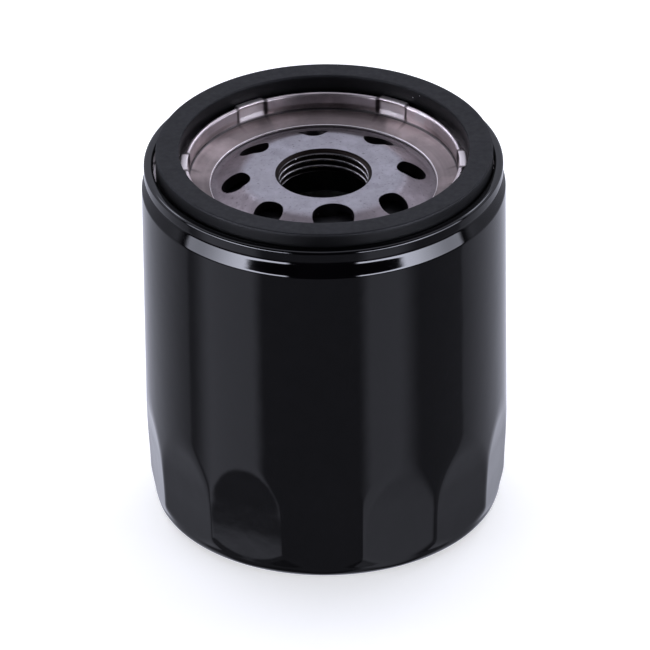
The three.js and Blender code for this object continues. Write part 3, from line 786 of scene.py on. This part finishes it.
PIECES = [
    (make_can(), "can", "can_shell", enamel, "black_paint", 24),
    (make_lid_pan(), "can", "seaming_lid", sheet_metal, "bare_steel", 40),
    (make_seam_band(), "can", "seaming_lid", enamel, "black_paint", 40),
    (make_gasket(), "can", "sealing_gasket", gasket_rubber(), "gasket_rubber", 40),
    (make_plate(), "can", "tapping_plate", plate_steel(), "plate_steel", 30),
    (make_valve(), "can", "anti_drainback_valve", rubber, "valve_rubber", 40),
    (make_coil("element_coil", "element_spring", 0.8 * MM, 16 * MM, 13 * MM, 2.25), "can", "element_spring",
     wire_finish, "spring_steel", 40),
    (make_coil("bypass_coil", "bypass_spring", 0.5 * MM, 5.4 * MM, 5.4 * MM, 4), "element", "bypass_spring",
     wire_finish, "spring_steel", 40),
]
made = {}
for piece, body, node, shader, slot, edge in PIECES:
    paint(piece, shader)
    sharpen(piece, edge)
    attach(piece, body)
    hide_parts(node)
    made[piece.name] = piece

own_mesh(made["drainback_valve"])
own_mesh(made["element_coil"])
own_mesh(made["bypass_coil"])

CARRIED = {
    "seam_sealant": potting("sealant", (0.10, 0.10, 0.09), (0.17, 0.165, 0.15)),
    "top_end_cap": tinplate,
    "bottom_end_cap": tinplate,
    "media_seam_clip": tinplate,
    "bypass_poppet": tinplate,
    "center_tube": tinplate,
    "top_adhesive": cured,
    "bottom_adhesive": cured,
    "pleated_media": filter_paper(),
    "bypass_seat": tinplate,
    "bypass_cage": tinplate,
    "bypass_seal": rubber,
    "bypass_stem": wire_finish,
}
for node, shader in CARRIED.items():
    paint(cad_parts[node], shader)


# ---- floor, light and camera --------------------------------------------------------------

def make_floor():
    size = 6.0
    mesh = bpy.data.meshes.new("floor")
    corners = [(-size, -size, 0), (size, -size, 0), (size, size, 0), (-size, size, 0)]
    mesh.from_pydata(corners, [], [(0, 1, 2, 3)])
    floor = bpy.data.objects.new("floor", mesh)
    bpy.context.scene.collection.objects.link(floor)
    s = Shader("floor", Roughness=0.9, Emission_Strength=0.55, Emission_Color=(1, 1, 1, 1))
    s.set("Base Color", s.ramp(s.noise(3, 2), (0.3, (0.86, 0.86, 0.865)), (0.7, (0.88, 0.88, 0.885))))
    paint(floor, s)
    floor.visible_glossy = False


def softbox(name, azimuth, elevation, distance, width, height, radiance, colour=(1, 1, 1)):
    """A rectangular studio light that faces the part; azimuth 0 is the camera's side, + is towards +X."""
    a, e = math.radians(azimuth), math.radians(elevation)
    direction = Vector((math.sin(a) * math.cos(e), -math.cos(a) * math.cos(e), math.sin(e)))
    light = bpy.data.lights.new(name, "AREA")
    light.shape = "RECTANGLE"
    light.size = width
    light.size_y = height
    light.energy = radiance * width * height * math.pi
    light.color = colour
    made = bpy.data.objects.new(name, light)
    made.location = direction * distance + Vector((0, 0, TOP / 2))
    made.rotation_euler = direction.to_track_quat("Z", "Y").to_euler()
    made.visible_camera = False
    made.visible_glossy = False
    bpy.context.scene.collection.objects.link(made)


def make_world():
    """The studio round the part, by direction: a pale table below, dim card gaps and two tall softboxes."""
    world = bpy.data.worlds.new("studio")
    bpy.context.scene.world = world
    world.use_nodes = True
    nodes, links = world.node_tree.nodes, world.node_tree.links
    background = nodes["Background"]

    def maths(operation, a, b=0.0, clamp=False):
        made = nodes.new("ShaderNodeMath")
        made.operation = operation
        made.use_clamp = clamp
        for socket, value in zip(made.inputs, (a, b)):
            if isinstance(value, bpy.types.NodeSocket):
                links.new(value, socket)
            else:
                socket.default_value = value
        return made.outputs[0]

    def rise(value, middle, softness):
        """0 well below middle, 1 well above it."""
        made = nodes.new("ShaderNodeMapRange")
        made.interpolation_type = "SMOOTHSTEP"
        links.new(value, made.inputs["Value"])
        made.inputs["From Min"].default_value = middle - softness / 2
        made.inputs["From Max"].default_value = middle + softness / 2
        return made.outputs["Result"]

    def inside(value, low, low_softness, high, high_softness):
        fall = maths("SUBTRACT", 1.0, rise(value, high, high_softness))
        return maths("MULTIPLY", rise(value, low, low_softness), fall)

    split = nodes.new("ShaderNodeSeparateXYZ")
    links.new(nodes.new("ShaderNodeTexCoord").outputs["Generated"], split.inputs[0])
    x, y, z = split.outputs
    azimuth = maths("MULTIPLY", maths("ARCTAN2", x, maths("MULTIPLY", y, -1)), 180 / math.pi)
    elevation = maths("MULTIPLY", maths("ARCSINE", z), 180 / math.pi)
    side = maths("ABSOLUTE", azimuth)

    # the table: dim in front, paler to both sides and brightest behind
    rear = rise(side, 97.5, 3)
    back = maths("MULTIPLY", rear, maths("ADD", maths("MULTIPLY", side, 0.0074), -0.42))
    left = maths("MULTIPLY", inside(azimuth, -86, 18, -44, 9), rise(elevation, -37, 3))
    right = inside(azimuth, 25, 10, 55, 18)
    front = maths("ADD", maths("MULTIPLY", left, 0.52), maths("MULTIPLY", right, 0.47))
    front = maths("ADD", front, maths("SUBTRACT", 0.16, maths("MULTIPLY", rear, 0.16)))
    front = maths("MULTIPLY", front,
                  maths("ADD", maths("MULTIPLY", rise(elevation, -52, 14), 0.6), 0.4))
    radiance = maths("MULTIPLY", maths("ADD", front, back), maths("SUBTRACT", 1.0, rise(elevation, -26, 4)))

    # the softboxes: their tops slope down towards the camera
    for lean, near in ((-1, 22), (1, 20)):
        turned = maths("MULTIPLY", azimuth, lean)
        width = inside(turned, near, 3, 90, 4)
        top = maths("ADD", maths("MULTIPLY", rise(turned, 50, 40), 20), 2)
        width = maths("MULTIPLY", width, maths("SUBTRACT", 1.0, maths("MULTIPLY", rise(turned, 62, 40), 0.7)))
        over = maths("SUBTRACT", elevation, top)
        height = maths("MULTIPLY", rise(elevation, -13, 2), maths("SUBTRACT", 1.0, rise(over, 0, 4)))
        radiance = maths("ADD", radiance, maths("MULTIPLY", maths("MULTIPLY", width, height), 12))

    # the wall and ceiling behind
    behind = maths("MULTIPLY", rise(side, 96, 8), rise(elevation, -26, 4))
    behind = maths("MULTIPLY", behind, maths("ADD", maths("MULTIPLY", rise(elevation, 0, 10), 0.36), 0.32))
    radiance = maths("ADD", radiance, behind)
    strip = maths("MULTIPLY", inside(side, 118, 4, 158, 4), inside(elevation, 36, 2, 46, 2))
    radiance = maths("ADD", radiance, maths("MULTIPLY", strip, 3.5))
    above = rise(elevation, 60, 20)
    radiance = maths("ADD", radiance, maths("MULTIPLY", above, 0.3))
    links.new(radiance, background.inputs["Strength"])
    background.inputs["Color"].default_value = (0.91, 0.935, 1.10, 1)


CAMERA_LENS = 636.7
CAMERA_DISTANCE = 2.417
CAMERA_ELEVATION = math.radians(31.3)
CAMERA_ROLL = math.radians(0.75)
CAMERA_TARGET = Vector((-0.12 * MM, 0, 40.35 * MM))


def make_camera():
    data = bpy.data.cameras.new("camera")
    data.sensor_width = 36
    data.lens = CAMERA_LENS
    data.clip_start = 0.1
    data.clip_end = 30
    camera = bpy.data.objects.new("camera", data)
    away = Vector((0, -math.cos(CAMERA_ELEVATION), math.sin(CAMERA_ELEVATION)))
    camera.location = CAMERA_TARGET + away * CAMERA_DISTANCE
    turn = away.to_track_quat("Z", "Y").to_matrix().to_4x4() @ Matrix.Rotation(-CAMERA_ROLL, 4, "Z")
    camera.rotation_euler = turn.to_euler()
    bpy.context.scene.collection.objects.link(camera)
    bpy.context.scene.camera = camera


make_floor()
make_world()
softbox("overhead_softbox", 180, 62, 1.8, 1.6, 1.0, 1.5)
make_camera()
bpy.context.scene.view_settings.view_transform = "Standard"
